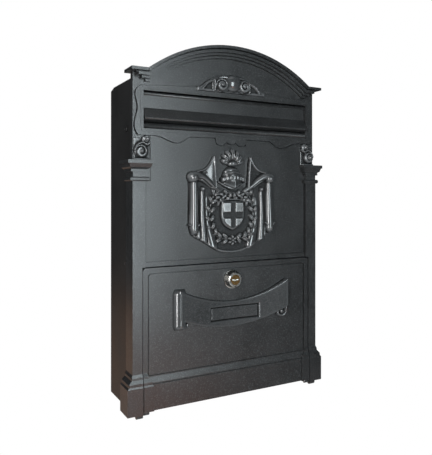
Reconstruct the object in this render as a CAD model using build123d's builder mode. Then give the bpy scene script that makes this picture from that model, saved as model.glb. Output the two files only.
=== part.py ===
from build123d import *
from math import sqrt
import os

# A wall-hung letter box: a folded steel body, a cast classical front with a letter slot under an
# outward-opening flap, and a cast door, hinged at its foot, with a cam lock at its top.
# All sizes are in mm. x runs across the box, "depth" runs out from the wall (towards -Y), and
# "height" runs up from the foot of the plinth. The origin is the middle of the four wall holes.

os.makedirs("parts", exist_ok=True)

# Wall holes
HOLE_HEIGHT = 200.0
HOLES_ACROSS, HOLES_UP, HOLE_RADIUS = 170.0, 240.0, 3.25

# Steel body
SHEET = 1.2
BODY_HALF, BODY_TOP, BODY_DEPTH = 121.3, 364.0, 70.8
ROOF_SLOPE_RUN, ROOF_SLOPE_FALL = 12.0, 3.0
BEND_RADIUS = 2.0
FLANGE = 10.0
LAP = 0.05

# Cast front: the depths of its faces
RIM_BACK, PLATE_BACK, PLATE_FACE, PANEL_FACE, FIELD_FACE = 71.0, 75.0, 78.0, 79.0, 79.8
PLATE_HALF, RIM = 121.7, 3.0
LEG_INSIDE, LEG_WRAP, SHAFT_INSIDE, SHAFT_OUTSIDE = 112.1, 121.5, 108.4, 123.3
SHAFT_FACE, SHAFT_BACK = 82.5, 61.0
RAIL_FOOT, PANEL_FOOT, PANEL_HALF = 157.8, 164.0, 106.9

# Cornice: a level shelf at each end and an arch between them
SHELF, SHELF_HALF, CORNICE_FACE, CORNICE_BACK = 373.3, 126.7, 90.0, 65.0
ARCH_TOP, ARCH_RADIUS = 410.0, 175.0
ARCH_CENTRE = ARCH_TOP - ARCH_RADIUS

# Letter slot and flap
SLOT_HALF, SLOT_FOOT, SLOT_TOP = 109.8, 309.2, 350.8
SILL_RADIUS, SILL_HEIGHT = 3.9, 312.2
FLAP_HALF, FLAP_SHEET = 109.3, 1.6
ROD_DEPTH, ROD_HEIGHT, ROD_RADIUS, ROD_HALF = 74.6, 347.6, 1.5, 115.5
CLIP_X, CLIP_SHEET, CLIP_SCREW_HEIGHT, CLIP_SCREW_RADIUS = 113.2, 1.5, 336.0, 1.45
CLIP_BACK = RIM_BACK - CLIP_SHEET
RUNNING = 0.05

# Raised field round the slot, the line engraved round it, and the double scroll above the slot
FIELD_HALF, FIELD_MIDDLE, FIELD_RISE = 118.0, 336.0, 40.0
GROOVE_WIDTH, GROOVE_FLOOR = 1.1, 76.6
SCROLL_X, SCROLL_HEIGHT, SCROLL_RADIUS = 11.6, 364.2, 7.2
CROWN_HEIGHT, CROWN_ACROSS, CROWN_UP = 369.6, 6.6, 5.6

# Brackets beside the panel: their two rolls, as (x, height, radius)
BRACKET_ROLLS = ((106.0, 297.4, 3.6), (113.6, 284.3, 5.2))

# Door
DOOR_HALF, DOOR_FOOT, DOOR_TOP, DOOR_CORNER = 111.3, 2.0, 157.0, 4.0
DOOR_BACK, DOOR_INNER, DOOR_PANEL, DOOR_BORDER = 73.0, 77.7, 80.7, 81.9
BORDER, BORDER_GROOVE = 5.7, 1.2
PLINTH_HALF, PLINTH_FACE, PLINTH_INSIDE = 130.0, 85.6, 99.6
PIN_DEPTH, PIN_HEIGHT, PIN_RADIUS = 82.0, 1.0, 1.5

# Cam lock
LOCK_HEIGHT, BARREL_RADIUS, PLUG_RADIUS = 137.7, 8.9, 6.0
BARREL_BACK, LOCK_FACE, CAM_FACE, CAM_SHEET = 68.6, 89.8, 68.2, 2.0

# Side screws that hold the front on the body, and studs of the two applied plaques
SCREW_DEPTH, SCREW_HEIGHTS, SCREW_RADIUS = 57.0, (160.0, 310.0), 2.0
STUD_RADIUS = 1.5
CREST_STUDS, RIBBON_STUDS = ((0, 205.0), (0, 262.0)), ((-45.0, 101.0), (45.0, 101.0))


def front(depth):
    """Plane that faces out of the wall at a depth; its axes are x and height."""
    return Plane(origin=(0, -depth, -HOLE_HEIGHT), x_dir=(1, 0, 0), z_dir=(0, -1, 0))


def across(x):
    """Plane across the box at x, facing -X; its axes are depth and height."""
    return Plane(origin=(x, 0, -HOLE_HEIGHT), x_dir=(0, -1, 0), z_dir=(-1, 0, 0))


def level(height):
    """Level plane at a height, facing down; its axes are x and depth."""
    return Plane(origin=(0, 0, height - HOLE_HEIGHT), x_dir=(1, 0, 0), z_dir=(0, 0, -1))


def save(piece, label):
    """Name a finished piece and write it to its own file."""
    piece.label = label
    export_step(piece, f"parts/{label}.step")


def rectangle(x1, x2, y1, y2, mode=Mode.ADD):
    """Rectangle between two x and two y values of a sketch."""
    with Locations(((x1 + x2) / 2, (y1 + y2) / 2)):
        Rectangle(abs(x2 - x1), abs(y2 - y1), mode=mode)


def bar(x1, x2, back, face, foot, top, mode=Mode.ADD):
    """Box between two x values, two depths and two heights."""
    with BuildSketch(front(back)) as end:
        rectangle(x1, x2, foot, top)
    extrude(end.sketch, amount=face - back, mode=mode)


def disc(x, height, radius, back, face, mode=Mode.ADD):
    """Round boss or hole that stands out from the wall."""
    with BuildSketch(front(back)) as end:
        with Locations((x, height)):
            Circle(radius)
    extrude(end.sketch, amount=face - back, mode=mode)


def roller(x1, x2, depth, height, radius, mode=Mode.ADD):
    """Round bar or hole that lies across the box."""
    with BuildSketch(across(max(x1, x2))) as end:
        with Locations((depth, height)):
            Circle(radius)
    extrude(end.sketch, amount=abs(x2 - x1), mode=mode)


def under_arch(drop, half_width, foot, mode=Mode.ADD):
    """Sketch of the region below the cornice line, lowered by drop, down to a foot height."""
    shelf, radius = SHELF - drop, ARCH_RADIUS - drop
    chord = sqrt(radius**2 - (shelf - ARCH_CENTRE) ** 2)
    with BuildLine() as edge:
        Polyline((-chord, shelf), (-half_width, shelf), (-half_width, foot), (half_width, foot),
                 (half_width, shelf), (chord, shelf))
        ThreePointArc((chord, shelf), (0, ARCH_CENTRE + radius), (-chord, shelf))
    make_face(edge.edges(), mode=mode)


def arch_band(drop, thick, half_width, back, face):
    """Moulding that follows the cornice line, a given drop below it."""
    with BuildSketch(front(back)) as band:
        under_arch(drop, half_width, PANEL_FOOT)
        under_arch(drop + thick, half_width + 1, PANEL_FOOT - 1, mode=Mode.SUBTRACT)
    extrude(band.sketch, amount=face - back)


def corner_section(side, height, inside, outside, face, back):
    """Level L-shaped section of a pilaster that wraps round the edge of the steel body."""
    points = [(inside, RIM_BACK), (inside, face), (outside, face), (outside, back),
              (LEG_WRAP, back), (LEG_WRAP, RIM_BACK)]
    with BuildSketch(level(height)) as section:
        with BuildLine() as edge:
            Polyline(*[(side * x, depth) for x, depth in points], close=True)
        make_face(edge.edges())
    return section.sketch


def corner_stack(side, rows):
    """Pilaster built up from rows of (height, inside, outside, face, back)."""
    for low, high in zip(rows, rows[1:]):
        if high[0] > low[0]:
            loft([corner_section(side, *low), corner_section(side, *high)], ruled=True)


def body_outline(inset, depth):
    """Sketch of the body's side, inset all round, as deep as given."""
    with BuildLine() as edge:
        Polyline((inset, inset), (depth, inset), (depth, BODY_TOP - inset),
                 (ROOF_SLOPE_RUN, BODY_TOP - inset), (inset, BODY_TOP - ROOF_SLOPE_FALL - inset), close=True)
    return edge.edges()


# ---- Steel body -------------------------------------------------------------------------------
with BuildPart() as body_wrap:
    with BuildSketch(across(BODY_HALF - SHEET)) as wrap_section:
        make_face(body_outline(0, BODY_DEPTH))
        fillet(wrap_section.vertices().group_by(Axis.X)[0], BEND_RADIUS)
        make_face(body_outline(SHEET, BODY_DEPTH + 1), mode=Mode.SUBTRACT)
    extrude(amount=2 * (BODY_HALF - SHEET))
    with BuildSketch(front(0)):
        with Locations((0, HOLE_HEIGHT)):
            with GridLocations(HOLES_ACROSS, HOLES_UP, 2, 2):
                Circle(HOLE_RADIUS)
    extrude(amount=SHEET, mode=Mode.SUBTRACT)
save(body_wrap.part, "body_wrap")

for side, name in ((-1, "left"), (1, "right")):
    outer, inner, lip = side * BODY_HALF, side * (BODY_HALF - SHEET), side * (BODY_HALF - SHEET - FLANGE)
    with BuildPart() as cheek:
        with BuildSketch(across(max(outer, inner))):
            make_face(body_outline(0, BODY_DEPTH))
        extrude(amount=SHEET)
        with BuildSketch(across(max(inner, lip))):
            make_face(body_outline(SHEET + LAP, BODY_DEPTH))
            make_face(body_outline(2 * SHEET + LAP, BODY_DEPTH + 1), mode=Mode.SUBTRACT)
        extrude(amount=FLANGE)
        for height in SCREW_HEIGHTS:
            roller(outer, inner, SCREW_DEPTH, height, SCREW_RADIUS + 0.2, mode=Mode.SUBTRACT)
    save(cheek.part, f"side_cheek_{name}")

# ---- Cast front -------------------------------------------------------------------------------
PLINTH_ROWS = [  # height, outside, face
    (0.0, PLINTH_HALF, PLINTH_FACE), (29.2, PLINTH_HALF, PLINTH_FACE), (31.0, 128.6, 85.0),
    (34.0, 128.3, 85.0), (37.7, 124.8, 83.6), (40.2, 124.6, 83.5), (43.5, SHAFT_OUTSIDE, SHAFT_FACE),
    (RAIL_FOOT, SHAFT_OUTSIDE, SHAFT_FACE)]
CAPITAL_ROWS = [  # height, inside, outside, face, back
    (RAIL_FOOT, SHAFT_INSIDE, SHAFT_OUTSIDE, SHAFT_FACE, SHAFT_BACK),
    (251.5, SHAFT_INSIDE, SHAFT_OUTSIDE, SHAFT_FACE, SHAFT_BACK),
    (251.5, 105.6, 125.2, 83.4, 63.4), (252.7, 104.6, 126.2, 84.0, 63.4),
    (255.0, 104.6, 126.2, 84.0, 63.4), (256.2, 105.6, 125.2, 83.4, 63.4),
    (256.2, SHAFT_INSIDE, 123.0, SHAFT_FACE, SHAFT_BACK), (261.8, SHAFT_INSIDE, 123.0, SHAFT_FACE, SHAFT_BACK),
    (261.8, 106.4, 125.4, 83.8, 60.0), (264.5, 106.4, 125.4, 83.8, 60.0),
    (264.5, 106.8, 124.6, 83.4, 58.5), (266.6, 103.6, 127.4, 86.0, 57.4), (270.6, 101.8, 128.6, 87.3, 56.6),
    (270.6, 100.4, PLINTH_HALF, 88.0, 56.0), (274.4, 100.4, PLINTH_HALF, 88.0, 56.0)]
FASCIAS = ((3.2, 1.1, 119.6, 84.0), (4.3, 3.2, 118.0, 87.2), (7.5, 2.8, 113.1, 84.0), (10.3, 3.0, 108.3, 80.8))


def slot_field(grow=0.0):
    """Shaped field round the letter slot, grown outwards: wavy ends, a swept top, a scalloped foot."""
    def at(x, height):
        return x * (1 + grow / FIELD_HALF), FIELD_MIDDLE + (height - FIELD_MIDDLE) * (1 + grow / FIELD_RISE)

    with BuildLine() as half:
        ThreePointArc(at(0, 377.5), at(13, 376.2), at(26, 371.5))
        Spline(at(26, 371.5), at(34.5, 364.6), at(46, 360.2), tangents=[(0.8, -0.6), (1, -0.1)])
        Line(at(46, 360.2), at(112.5, 355.6))
        Spline(at(112.5, 355.6), at(118.9, 348.0), at(116.5, 333.0), at(119.8, 316.0), at(116.0, 302.0))
        Line(at(116.0, 302.0), at(98.0, 302.0))
        Spline(at(98.0, 302.0), at(82.0, 298.0), at(68.5, 295.0), at(60.0, 299.0), at(53.5, 302.6),
               tangents=[(-1, 0), (-1, 0.2)])
        Line(at(53.5, 302.6), at(21.0, 303.0))
        Line(at(21.0, 303.0), at(20.0, 297.2))
        ThreePointArc(at(20.0, 297.2), at(13.0, 294.8), at(6.0, 299.0))
        ThreePointArc(at(6.0, 299.0), at(3.4, 297.1), at(0, 296.6))
        mirror(about=Plane.YZ)
    make_face(half.edges())


def rod_bearing(side):
    """Block behind one end of the slot, with a groove open to the back for the flap's rod."""
    near, far = side * SLOT_HALF, side * (ROD_HALF + 1.0)
    bar(near, far, RIM_BACK, PLATE_FACE, 330.0, 353.5)
    groove = ROD_RADIUS + RUNNING
    bar(near, far, RIM_BACK - 1, ROD_DEPTH, ROD_HEIGHT - groove, ROD_HEIGHT + groove, mode=Mode.SUBTRACT)
    roller(near, far, ROD_DEPTH, ROD_HEIGHT, groove, mode=Mode.SUBTRACT)
    disc(side * CLIP_X, CLIP_SCREW_HEIGHT, CLIP_SCREW_RADIUS + RUNNING, RIM_BACK - 1, 76.5,
         mode=Mode.SUBTRACT)


def hinge_lug(side):
    """Rounded lug under the plinth block that carries the door's pin."""
    near, far = side * 112.5, side * 119.5
    roller(near, far, PIN_DEPTH, -0.9, 3.5)
    bar(near, far, PIN_DEPTH - 3.5, PIN_DEPTH + 3.5, -0.9, 1.0)
    roller(side * (LEG_INSIDE - 1), side * 118.6, PIN_DEPTH, PIN_HEIGHT, PIN_RADIUS + RUNNING,
           mode=Mode.SUBTRACT)


def side_bracket(side):
    """Scrolled bracket that stands on the capital beside the panel."""
    bar(side * 102.4, side * 120.6, PLATE_FACE, PANEL_FACE, 274.0, 298.4)
    for x, height, radius in BRACKET_ROLLS:
        disc(side * x, height, radius, PLATE_FACE, FIELD_FACE)
        disc(side * x, height, radius * 0.4, FIELD_FACE, 81.4)


with BuildPart() as front_frame:
    with BuildSketch(front(PLATE_BACK)):
        under_arch(1.0, PLATE_HALF, RAIL_FOOT)
    extrude(amount=PLATE_FACE - PLATE_BACK)
    with BuildSketch(front(RIM_BACK)):
        under_arch(1.0, PLATE_HALF, RAIL_FOOT)
        under_arch(1.0 + RIM, PLATE_HALF - RIM, RAIL_FOOT + RIM, mode=Mode.SUBTRACT)
    extrude(amount=PLATE_BACK - RIM_BACK)
    arch_band(0, 3.2, SHELF_HALF, CORNICE_BACK, CORNICE_FACE)
    for drop, thick, half_width, face in FASCIAS:
        arch_band(drop, thick, half_width, PLATE_BACK, face)
    bar(-PANEL_HALF, PANEL_HALF, PLATE_FACE, PANEL_FACE, PANEL_FOOT, 252.0)
    bar(-SHAFT_INSIDE, SHAFT_INSIDE, GROOVE_FLOOR, PLATE_FACE, PANEL_FOOT - GROOVE_WIDTH, PANEL_FOOT,
        mode=Mode.SUBTRACT)
    for side in (-1, 1):
        bar(side * PANEL_HALF, side * SHAFT_INSIDE, GROOVE_FLOOR, PLATE_FACE, PANEL_FOOT, 251.0, mode=Mode.SUBTRACT)
    bar(-101.6, 101.6, PLATE_FACE, PANEL_FACE, 252.0, 305.0)
    bar(-14.0, 14.0, CAM_FACE + 0.4, PLATE_BACK, RAIL_FOOT + 0.4, 167.0)
    with BuildSketch(front(GROOVE_FLOOR)):
        slot_field(GROOVE_WIDTH)
    extrude(amount=FIELD_FACE - GROOVE_FLOOR, mode=Mode.SUBTRACT)
    with BuildSketch(front(GROOVE_FLOOR)):
        slot_field()
    extrude(amount=FIELD_FACE - GROOVE_FLOOR)
    with BuildSketch(front(FIELD_FACE)):
        with Locations((0, (SLOT_FOOT + SLOT_TOP) / 2)):
            RectangleRounded(2 * SLOT_HALF + 6.6, SLOT_TOP - SLOT_FOOT + 6.0, 4.0)
            RectangleRounded(2 * SLOT_HALF + 3.0, SLOT_TOP - SLOT_FOOT + 2.6, 2.4, mode=Mode.SUBTRACT)
    extrude(amount=0.5)
    for side in (-1, 1):
        corner_stack(side, [(height, LEG_INSIDE, outside, face, SHAFT_BACK)
                            for height, outside, face in PLINTH_ROWS])
        corner_stack(side, CAPITAL_ROWS)
        side_bracket(side)
        disc(side * SCROLL_X, SCROLL_HEIGHT, SCROLL_RADIUS, FIELD_FACE, 84.2)
        disc(side * SCROLL_X, SCROLL_HEIGHT, 1.6, 84.2, 85.6)
    with BuildSketch(front(FIELD_FACE)):
        with Locations((0, CROWN_HEIGHT)):
            Ellipse(CROWN_ACROSS, CROWN_UP)
    extrude(amount=5.0)
    bar(-SLOT_HALF, SLOT_HALF, RIM_BACK - 1, CORNICE_FACE, SLOT_FOOT, SLOT_TOP, mode=Mode.SUBTRACT)
    roller(-SLOT_HALF - 1, SLOT_HALF + 1, ROD_DEPTH, SILL_HEIGHT, SILL_RADIUS)
    for side in (-1, 1):
        rod_bearing(side)
        hinge_lug(side)
        for height in SCREW_HEIGHTS:
            bar(side * 113.9, side * 119.9, 51.0, PLATE_BACK + 0.5, height - 5, height + 5)
            roller(side * 113.0, side * 121.0, SCREW_DEPTH, height, SCREW_RADIUS + RUNNING,
                   mode=Mode.SUBTRACT)
    for x, height in CREST_STUDS:
        disc(x, height, STUD_RADIUS + 0.1, PLATE_BACK - 1, PANEL_FACE + 1, mode=Mode.SUBTRACT)
save(front_frame.part, "front_frame")

# ---- Slot flap and its rod --------------------------------------------------------------------
with BuildPart() as slot_flap:
    with BuildSketch(across(FLAP_HALF)):
        with BuildLine():
            Polyline((ROD_DEPTH, ROD_HEIGHT), (76.2, ROD_HEIGHT), (76.2, 332.0), (84.0, 320.6),
                     (83.4, 318.8), (ROD_DEPTH, 316.6), (ROD_DEPTH, 318.2), (81.2, 320.0),
                     (ROD_DEPTH, 331.4), close=True)
        make_face()
        with Locations((ROD_DEPTH, ROD_HEIGHT)):
            Circle(2.4)
    extrude(amount=2 * FLAP_HALF)
    roller(-FLAP_HALF, FLAP_HALF, ROD_DEPTH, ROD_HEIGHT, ROD_RADIUS + RUNNING, mode=Mode.SUBTRACT)
save(slot_flap.part, "slot_flap")

with BuildPart() as flap_rod:
    roller(-ROD_HALF, ROD_HALF, ROD_DEPTH, ROD_HEIGHT, ROD_RADIUS)
    chamfer(flap_rod.edges().filter_by(GeomType.CIRCLE), 0.4)
save(flap_rod.part, "flap_rod")

with BuildPart() as rod_clips:
    for side in (-1, 1):
        bar(side * 110.3, side * 116.2, CLIP_BACK, RIM_BACK, 331.0, 352.5)
        bar(side * 110.3, side * 116.2, RIM_BACK, 72.9, ROD_HEIGHT - 1.4, ROD_HEIGHT + 1.4)
        disc(side * CLIP_X, CLIP_SCREW_HEIGHT, CLIP_SCREW_RADIUS + 0.2, CLIP_BACK, RIM_BACK,
             mode=Mode.SUBTRACT)
save(rod_clips.part, "rod_clips")

with BuildPart() as rod_clip_screws:
    for side in (-1, 1):
        disc(side * CLIP_X, CLIP_SCREW_HEIGHT, 2.6, CLIP_BACK - 1.8, CLIP_BACK)
        disc(side * CLIP_X, CLIP_SCREW_HEIGHT, CLIP_SCREW_RADIUS, CLIP_BACK, 76.0)
        bar(side * CLIP_X - 1.9, side * CLIP_X + 1.9, CLIP_BACK - 2.0, CLIP_BACK - 1.0,
            CLIP_SCREW_HEIGHT - 0.4, CLIP_SCREW_HEIGHT + 0.4, mode=Mode.SUBTRACT)
save(rod_clip_screws.part, "rod_clip_screws")

with BuildPart() as frame_screws:
    for side in (-1, 1):
        for height in SCREW_HEIGHTS:
            roller(side * BODY_HALF, side * (BODY_HALF + 1.6), SCREW_DEPTH, height, 3.4)
            roller(side * BODY_HALF, side * 114.4, SCREW_DEPTH, height, SCREW_RADIUS)
            with BuildSketch(across(BODY_HALF + 2.0 if side > 0 else -BODY_HALF - 0.8)) as socket:
                with Locations((SCREW_DEPTH, height)):
                    RegularPolygon(1.3, 6)
            extrude(socket.sketch, amount=1.2, mode=Mode.SUBTRACT)
save(frame_screws.part, "frame_screws")

# ---- Door -------------------------------------------------------------------------------------
DOOR_PLINTH_ROWS = [  # height, inside, face
    (DOOR_FOOT, PLINTH_INSIDE, PLINTH_FACE), (29.2, PLINTH_INSIDE, PLINTH_FACE), (31.0, 101.0, 85.0),
    (34.0, 101.3, 85.0), (37.7, 104.6, 83.6), (40.2, 104.8, 83.5), (43.5, 107.4, DOOR_BORDER)]


def door_outline(inset, mode=Mode.ADD):
    """Door outline with rounded top corners, inset all round."""
    with BuildSketch(mode=Mode.PRIVATE) as outline:
        rectangle(inset - DOOR_HALF, DOOR_HALF - inset, DOOR_FOOT + inset, DOOR_TOP - inset)
        fillet(outline.vertices().group_by(Axis.Y)[-1], DOOR_CORNER)
    add(outline.sketch, mode=mode)


with BuildPart() as door_panel:
    with BuildSketch(front(DOOR_INNER)):
        door_outline(0)
    extrude(amount=DOOR_PANEL - DOOR_INNER)
    with BuildSketch(front(DOOR_BACK)):
        door_outline(0.6)
        door_outline(3.0, mode=Mode.SUBTRACT)
    extrude(amount=DOOR_INNER - DOOR_BACK)
    with BuildSketch(front(DOOR_PANEL)):
        door_outline(0)
        door_outline(BORDER, mode=Mode.SUBTRACT)
    extrude(amount=DOOR_BORDER - DOOR_PANEL)
    with BuildSketch(front(DOOR_PANEL)):
        door_outline(BORDER)
        door_outline(BORDER + GROOVE_WIDTH, mode=Mode.SUBTRACT)
    extrude(amount=-BORDER_GROOVE, mode=Mode.SUBTRACT)
    with BuildSketch(across(DOOR_HALF)):
        with BuildLine():
            Polyline((DOOR_INNER, DOOR_FOOT), (83.4, DOOR_FOOT), (83.4, 30.2), (82.6, 31.2), (82.6, 32.2),
                     (81.6, 38.4), (81.6, 39.4), (DOOR_PANEL, 40.2), (DOOR_INNER, 40.2), close=True)
        make_face()
    extrude(amount=2 * DOOR_HALF)
    for side in (-1, 1):
        for low, high in zip(DOOR_PLINTH_ROWS, DOOR_PLINTH_ROWS[1:]):
            sections = []
            for height, inside, face in (low, high):
                with BuildSketch(level(height)) as section:
                    rectangle(side * inside, side * DOOR_HALF, DOOR_INNER, face)
                sections.append(section.sketch)
            loft(sections, ruled=True)
        roller(side * 105.0, side * (DOOR_HALF - 0.2), PIN_DEPTH, PIN_HEIGHT, 2.8)
        roller(side * 104.0, side * 112.0, PIN_DEPTH, PIN_HEIGHT, PIN_RADIUS + RUNNING, mode=Mode.SUBTRACT)
    disc(0, LOCK_HEIGHT, BARREL_RADIUS + 0.2, DOOR_INNER, DOOR_BORDER, mode=Mode.SUBTRACT)
    for x, height in RIBBON_STUDS:
        disc(x, height, STUD_RADIUS + 0.1, DOOR_INNER, DOOR_BORDER, mode=Mode.SUBTRACT)
save(door_panel.part, "door_panel")

for side, name in ((-1, "left"), (1, "right")):
    with BuildPart() as hinge_pin:
        roller(side * 104.6, side * 118.2, PIN_DEPTH, PIN_HEIGHT, PIN_RADIUS)
        chamfer(hinge_pin.edges().filter_by(GeomType.CIRCLE), 0.3)
    save(hinge_pin.part, f"door_hinge_pin_{name}")

# ---- Ribbon-shaped name plate on the door -------------------------------------------------------
RIBBON_FACE, ROLL_FACE = 82.6, 88.0
NAME_X, NAME_HALF, NAME_FOOT, NAME_TOP, NAME_FLOOR = 3.0, 33.0, 90.0, 107.0, 81.4

with BuildPart() as name_ribbon:
    with BuildSketch(front(DOOR_PANEL)):
        with BuildLine():
            ThreePointArc((-68.0, 129.8), (0, 112.2), (70.0, 129.8))
            Line((70.0, 129.8), (62.0, 94.0))
            ThreePointArc((62.0, 94.0), (0, 82.6), (-60.0, 91.6))
            Line((-60.0, 91.6), (-68.0, 129.8))
        make_face()
    extrude(amount=RIBBON_FACE - DOOR_PANEL)
    for foot, top, inner, outer in ((85.6, 130.6, -61.0, -75.0), (88.0, 130.6, 64.0, 77.0)):
        width, middle = abs(outer - inner), (inner + outer) / 2
        with BuildSketch(level(top)) as roll:
            with Locations((middle, DOOR_PANEL)):
                Ellipse(width / 2, ROLL_FACE - DOOR_PANEL)
            rectangle(inner - 20, outer + 20, DOOR_PANEL - 20, DOOR_PANEL, mode=Mode.SUBTRACT)
        extrude(roll.sketch, amount=top - foot)
    bar(NAME_X - NAME_HALF, NAME_X + NAME_HALF, NAME_FLOOR, RIBBON_FACE + 1, NAME_FOOT, NAME_TOP,
        mode=Mode.SUBTRACT)
    for x, height in RIBBON_STUDS:
        disc(x, height, STUD_RADIUS, 74.0, DOOR_PANEL)
save(name_ribbon.part, "name_ribbon")

# ---- Generic heraldic plaque on the panel --------------------------------------------------------
with BuildPart() as crest_plaque:
    with BuildSketch(front(PANEL_FACE)):
        with BuildLine():
            Line((0, 168.0), (20, 171.5))
            Spline((20, 171.5), (35, 180), (51, 189.5))
            Line((51, 189.5), (55, 240))
            Spline((55, 240), (55.5, 252), (49, 261), (38, 266), (30, 278), (22, 281))
            Line((22, 281), (11, 272))
            Line((11, 272), (0, 286))
            mirror(about=Plane.YZ)
        make_face()
    extrude(amount=2.2)
    for side in (-1, 1):
        disc(side * 52.5, 256.0, 4.6, PANEL_FACE, 84.0)
        bar(side * 44.0, side * 55.0, PANEL_FACE, 83.0, 191.0, 252.0)
        bar(side * 22.0, side * 34.0, PANEL_FACE, 82.6, 244.0, 274.0)
    with BuildSketch(front(PANEL_FACE)):
        with BuildLine():
            Polyline((-15, 235), (15, 235), (15, 214))
            ThreePointArc((15, 214), (9.6, 202), (0, 196))
            ThreePointArc((0, 196), (-9.6, 202), (-15, 214))
            Line((-15, 214), (-15, 235))
        make_face()
    extrude(amount=5.0)
    disc(0, 259.0, 14.0, PANEL_FACE, 85.5)
    disc(0, 287.5, 5.5, PANEL_FACE, 83.0)
    for x, height in CREST_STUDS:
        disc(x, height, STUD_RADIUS, 70.5, PANEL_FACE)
save(crest_plaque.part, "crest_plaque")

for name, places, seat in (("crest_push_nuts", CREST_STUDS, PLATE_BACK),
                           ("ribbon_push_nuts", RIBBON_STUDS, DOOR_INNER)):
    with BuildPart() as push_nuts:
        for x, height in places:
            disc(x, height, 5.0, seat - 0.6, seat)
            disc(x, height, 2.6, seat - 1.6, seat - 0.6)
            disc(x, height, STUD_RADIUS + 0.02, seat - 2, seat + 1, mode=Mode.SUBTRACT)
    save(push_nuts.part, name)

# ---- Cam lock -----------------------------------------------------------------------------------
PLUG_BACK, SQUARE, CAM_REACH, CAM_WIDTH = CAM_FACE - CAM_SHEET, 8.0, 27.6, 14.0

with BuildPart() as lock_housing:
    with BuildSketch(across(0)) as bezel:
        with BuildLine():
            Polyline((BARREL_BACK, LOCK_HEIGHT), (BARREL_BACK, LOCK_HEIGHT + BARREL_RADIUS),
                     (DOOR_PANEL, LOCK_HEIGHT + BARREL_RADIUS), (DOOR_PANEL, LOCK_HEIGHT + 10.9),
                     (82.2, LOCK_HEIGHT + 10.9), (82.6, LOCK_HEIGHT + 10.1), (89.0, LOCK_HEIGHT + 8.6),
                     (LOCK_FACE, LOCK_HEIGHT + 7.8), (LOCK_FACE, LOCK_HEIGHT), close=True)
        make_face()
    revolve(axis=Axis((0, 0, LOCK_HEIGHT - HOLE_HEIGHT), (0, 1, 0)))
    disc(0, LOCK_HEIGHT, PLUG_RADIUS + RUNNING, BARREL_BACK - 1, LOCK_FACE + 1, mode=Mode.SUBTRACT)
save(lock_housing.part, "lock_housing")

with BuildPart() as lock_washer:
    disc(0, LOCK_HEIGHT, 12.0, DOOR_INNER - 0.5, DOOR_INNER)
    disc(0, LOCK_HEIGHT, BARREL_RADIUS + 0.1, DOOR_INNER - 1, DOOR_INNER + 1, mode=Mode.SUBTRACT)
save(lock_washer.part, "lock_washer")

with BuildPart() as lock_nut:
    with BuildSketch(front(DOOR_INNER - 4.0)):
        with Locations((0, LOCK_HEIGHT)):
            RegularPolygon(11.0, 6, major_radius=False)
            Circle(BARREL_RADIUS + 0.05, mode=Mode.SUBTRACT)
    extrude(amount=3.5)
save(lock_nut.part, "lock_nut")

with BuildPart() as lock_plug:
    disc(0, LOCK_HEIGHT, PLUG_RADIUS, CAM_FACE, LOCK_FACE - 0.2)
    bar(-SQUARE / 2, SQUARE / 2, PLUG_BACK, CAM_FACE, LOCK_HEIGHT - SQUARE / 2, LOCK_HEIGHT + SQUARE / 2)
    bar(-4.2, 4.2, LOCK_FACE - 12, LOCK_FACE, LOCK_HEIGHT - 0.7, LOCK_HEIGHT + 0.7, mode=Mode.SUBTRACT)
    bar(-1.4, 1.4, LOCK_FACE - 12, LOCK_FACE, LOCK_HEIGHT - 1.5, LOCK_HEIGHT + 0.7, mode=Mode.SUBTRACT)
    disc(0, LOCK_HEIGHT, 2.05, PLUG_BACK - 1, 75.0, mode=Mode.SUBTRACT)
save(lock_plug.part, "lock_plug")

with BuildPart() as lock_cam:
    with BuildSketch(front(PLUG_BACK)):
        rectangle(0, CAM_REACH, LOCK_HEIGHT - CAM_WIDTH / 2, LOCK_HEIGHT + CAM_WIDTH / 2)
        with Locations((0, LOCK_HEIGHT)):
            Circle(8.0)
            Rectangle(SQUARE + 0.1, SQUARE + 0.1, mode=Mode.SUBTRACT)
    extrude(amount=CAM_SHEET)
    fillet(lock_cam.edges().filter_by(Axis.Y).group_by(Axis.X)[-1], 3.0)
save(lock_cam.part, "lock_cam")

with BuildPart() as cam_washer:
    disc(0, LOCK_HEIGHT, 6.6, PLUG_BACK - 0.8, PLUG_BACK)
    disc(0, LOCK_HEIGHT, 2.3, PLUG_BACK - 1, PLUG_BACK + 1, mode=Mode.SUBTRACT)
save(cam_washer.part, "cam_washer")

with BuildPart() as cam_screw:
    disc(0, LOCK_HEIGHT, 4.0, PLUG_BACK - 3.4, PLUG_BACK - 0.8)
    chamfer(cam_screw.edges().group_by(Axis.Y)[-1], 0.6)
    disc(0, LOCK_HEIGHT, 2.0, PLUG_BACK - 0.8, 74.0)
    for turn in (0, 90):
        with BuildSketch(front(PLUG_BACK - 3.5)) as cross:
            with Locations((0, LOCK_HEIGHT)):
                Rectangle(4.6, 0.8, rotation=turn)
        extrude(cross.sketch, amount=1.4, mode=Mode.SUBTRACT)
save(cam_screw.part, "cam_screw")
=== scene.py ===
"""Looks of a wall letter box: a textured powder coat, cast reliefs, a bright lock and a studio stage.

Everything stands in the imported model's frame, in metres: x across, -y out from the wall, z up. Sizes in
the relief functions are in mm, with heights measured up from the foot of the plinth.
"""

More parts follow.
